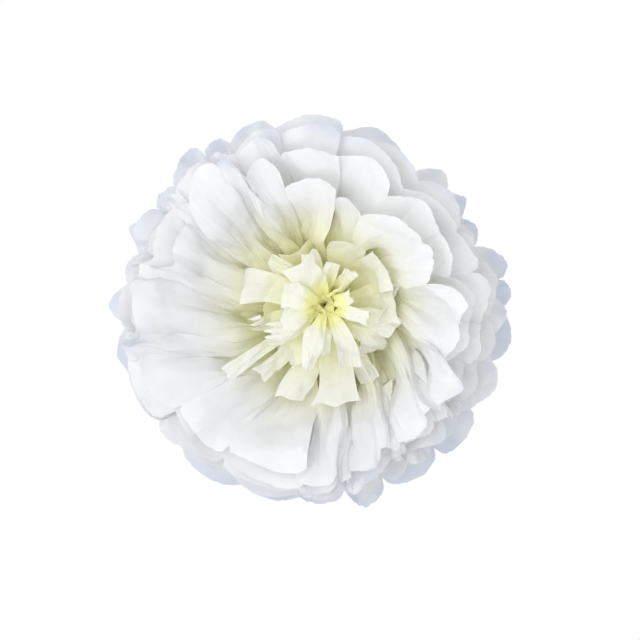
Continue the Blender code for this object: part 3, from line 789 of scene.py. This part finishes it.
def tissue(name, glow_along, cream_out, waist, body, rim):
    """Thin translucent paper. Its colour goes from waist to body, which is whole past glow_along
    from the neck, on the paper, and past cream_out from the axis; waist is painted light, the warm
    glow of light bouncing in the deep centre. Far out it goes on to rim, painted shade where no
    other sheet lies behind the thin paper to send light back through it."""
    waist, body, rim = ((*colour, 1.0) for colour in (waist, body, rim))
    material = bpy.data.materials.new(name)
    material.use_nodes = True
    material.node_tree.nodes.clear()
    t = Tree(material.node_tree)
    place = t.node("ShaderNodeTexCoord").outputs["Object"]

    def fact(attribute):
        return t.node("ShaderNodeAttribute", {"attribute_name": attribute}).outputs["Fac"]

    def blend(share, a, b):
        return t.node("ShaderNodeMix", {"data_type": "RGBA"}, _0=share, _6=a, _7=b).outputs[2]

    def ramp(value, low, high):
        """From 0 at low to 1 at high."""
        settings = {"interpolation_type": "SMOOTHSTEP"}
        return t.node("ShaderNodeMapRange", settings, _0=value, _1=low, _2=high).outputs[0]

    flat = t.node("ShaderNodeVectorMath", {"operation": "MULTIPLY"}, _0=place, _1=(1.0, 0.0, 1.0))
    out = t.node("ShaderNodeVectorMath", {"operation": "LENGTH"}, _0=flat.outputs[0]).outputs["Value"]
    # Painted light: a warm yellow glow near the waist, for light bouncing in the deep centre
    colour = blend(ramp(fact("along"), GLOW_ALONG, glow_along), waist, body)
    colour = blend(ramp(out, GLOW_OUT, cream_out), waist, colour)
    # Painted shade: far out, paper that no other sheet backs is painted darker and bluer
    painted_unbacked_shade = t.times(ramp(fact("backing"), 1.0, 0.0), ramp(out, *PAINTED_RIM_SHADE))
    colour = blend(painted_unbacked_shade, colour, rim)

    cloud = t.node("ShaderNodeTexNoise", Vector=place, Scale=CLOUDS, Detail=3.0, Roughness=0.6).outputs[0]
    fibre = t.node("ShaderNodeTexNoise", Vector=place, Scale=FIBRES, Detail=2.0, Roughness=0.6).outputs[0]
    shade = t.plus(t.times(cloud, CLOUD_SHADE), LEAST_SHADE)
    shade = t.plus(shade, t.times(fibre, FIBRE_SHADE))
    mottled = t.node("ShaderNodeVectorMath", {"operation": "SCALE"}, _0=colour, Scale=shade).outputs[0]
    strength, depth = CLOUD_RELIEF
    relief = t.node("ShaderNodeBump", Strength=strength, Distance=depth, Height=cloud).outputs[0]
    strength, depth = FIBRE_RELIEF
    relief = t.node(
        "ShaderNodeBump", Strength=strength, Distance=depth, Height=fibre, Normal=relief
    ).outputs[0]

    front = t.node(
        "ShaderNodeBsdfPrincipled", Roughness=PAPER_ROUGHNESS, Normal=relief,
        **{"Base Color": mottled, "Specular IOR Level": PAPER_SPECULAR},
    ).outputs[0]
    through = t.node("ShaderNodeBsdfTranslucent", Color=mottled, Normal=relief).outputs[0]
    both = t.node("ShaderNodeMixShader", _0=SEEN_THROUGH, _1=front, _2=through).outputs[0]
    t.node("ShaderNodeOutputMaterial", Surface=both)
    return material


def galvanised():
    """Satin galvanised wire, with a fine grain of darker and paler, rougher zinc."""
    material = bpy.data.materials.new("galvanised wire")
    material.use_nodes = True
    t = Tree(material.node_tree)
    shader = material.node_tree.nodes["Principled BSDF"]
    place = t.node("ShaderNodeTexCoord").outputs["Object"]
    grain = t.node("ShaderNodeTexNoise", Vector=place, Scale=ZINC_GRAINS, Detail=3.0).outputs[0]
    tone = t.node("ShaderNodeValToRGB", Fac=grain)
    for end, colour in zip(tone.color_ramp.elements, (DARK_ZINC, PALE_ZINC)):
        end.color = colour
    shader.inputs["Metallic"].default_value = 1.0
    t.join(tone.outputs[0], shader.inputs["Base Color"])
    t.join(t.plus(t.times(grain, ZINC_ROUGHER), ZINC_ROUGH), shader.inputs["Roughness"])
    return material


def outer_mesh(number, sheet, neck):
    """An outer sheet laid out. Its left half laps over the right at both seams."""
    paper = Paper(neck)
    seed = OUTER_SEED_STEP * number
    folds = sheet["left_folds"]
    lapped = [folds[0] - SEAM_LAPS[0], *folds[1:-1], folds[-1] + SEAM_LAPS[1]]
    PleatedHalf(sheet, seed, RIGHT, sheet["right_folds"], sheet["right_crowns"], VALLEY).lay(paper)
    PleatedHalf(sheet, seed + OUTER_LEFT_SEED, LEFT, lapped, sheet["left_crowns"], RIDGE).lay(paper)
    return paper.mesh(f"tissue_outer_{number}")


def inner_mesh(number, sheet, neck):
    """An inner sheet laid out."""
    paper = Paper(neck)
    seed = INNER_SEED + INNER_SEED_STEP * number
    lay_flapped_half(paper, RIGHT, sheet["right_flaps"], seed)
    lay_flapped_half(paper, LEFT, sheet["left_flaps"], seed + INNER_LEFT_SEED)
    return paper.mesh(f"tissue_inner_{number}")


def pale_floor():
    """A floor well below the flower, out of the photograph's view."""
    bpy.ops.mesh.primitive_plane_add(size=FLOOR_SIZE, location=(0.0, 0.0, FLOOR_HEIGHT))
    floor = bpy.context.object
    floor.name = "floor"
    material = bpy.data.materials.new("pale floor")
    material.use_nodes = True
    shader = material.node_tree.nodes["Principled BSDF"]
    shader.inputs["Base Color"].default_value = FLOOR_COLOUR
    shader.inputs["Roughness"].default_value = FLOOR_ROUGHNESS
    floor.data.materials.append(material)


def area_light(name, place, size, watts, colour):
    """A round lamp that points at LIT_POINT."""
    data = bpy.data.lights.new(name, "AREA")
    data.shape = "DISK"
    data.size = size
    data.energy = watts
    data.color = colour
    light = bpy.data.objects.new(name, data)
    light.location = place
    aim = Vector(LIT_POINT) - Vector(place)
    light.rotation_euler = aim.to_track_quat("-Z", "Y").to_euler()
    bpy.context.scene.collection.objects.link(light)


def soft_world(strength):
    """Even soft light, and a plain white ground where nothing else is seen."""
    world = bpy.data.worlds.new("studio")
    bpy.context.scene.world = world
    world.use_nodes = True
    world.node_tree.nodes.clear()
    t = Tree(world.node_tree)
    rays = t.node("ShaderNodeLightPath").outputs
    seen = t.maths("MAXIMUM", rays["Is Camera Ray"], rays["Is Glossy Ray"])
    light = t.node("ShaderNodeBackground", Color=SKY, Strength=strength).outputs[0]
    ground = t.node("ShaderNodeBackground", Color=GROUND, Strength=1.0).outputs[0]
    both = t.node("ShaderNodeMixShader", _0=seen, _1=light, _2=ground).outputs[0]
    t.node("ShaderNodeOutputWorld", Surface=both)


def photo_camera():
    """A camera square to the wall, with the waist where the photograph has it."""
    across, down = WAIST_PIXEL
    data = bpy.data.cameras.new("camera")
    data.sensor_width = SENSOR
    data.lens = SENSOR * CAMERA_AWAY / (PIXEL * PHOTO_SIZE)
    camera = bpy.data.objects.new("camera", data)
    middle = 0.5 * PHOTO_SIZE
    camera.location = ((middle - across) * PIXEL, -CAMERA_AWAY, (down - middle) * PIXEL)
    camera.rotation_euler = (math.radians(90.0), 0.0, 0.0)
    bpy.context.scene.collection.objects.link(camera)
    bpy.context.scene.camera = camera


# Sheets
crumple = crumple_tree()
# waist is a painted warm glow of the deep centre; rim is painted shade of unbacked thin paper
white = tissue(
    "white tissue", glow_along=0.093, cream_out=0.068,
    waist=(0.985, 0.98, 0.74), body=(0.95, 0.951, 0.955), rim=(0.8, 0.825, 0.88),
)
cream = tissue(
    "cream tissue", glow_along=0.072, cream_out=0.017,
    waist=(0.985, 0.975, 0.66), body=(0.95, 0.95, 0.91), rim=(0.94, 0.94, 0.91),
)

sheets = {}
neck = NECK_HEIGHT
for number, sheet in enumerate(OUTER_SHEETS, 1):
    mesh = outer_mesh(number, sheet, neck)
    noise_seed = OUTER_NOISE_STEP * number
    sheets[f"outer_sheet_{number}"] = crumpled(mesh, crumple, white, noise_seed, OUTER_CRUMPLE)
    neck += NECK_STEP
neck -= NECK_STEP
for number, sheet in enumerate(INNER_SHEETS, 1):
    neck += INNER_NECK_STEP
    mesh = inner_mesh(number, sheet, neck)
    noise_seed = INNER_NOISE + INNER_NOISE_STEP * number
    sheets[f"inner_sheet_{number}"] = crumpled(mesh, crumple, cream, noise_seed, INNER_CRUMPLE)
count_backing(list(sheets.values()))
tissues = {node: walled(sheet) for node, sheet in sheets.items()}
for node, made in tissues.items():
    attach(made, "root")
    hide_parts(node)

# Tie wire
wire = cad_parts["tie_wire"]
wire.data.materials.clear()
wire.data.materials.append(galvanised())

# Floor, light and camera
pale_floor()
soft_world(strength=0.87)
area_light("key", place=(-0.75, -1.9, -0.2), size=2.4, watts=25.5, colour=(1.0, 0.995, 0.985))
photo_camera()
bpy.context.scene.view_settings.view_transform = "Standard"
bpy.context.scene.cycles.diffuse_bounces = BOUNCES
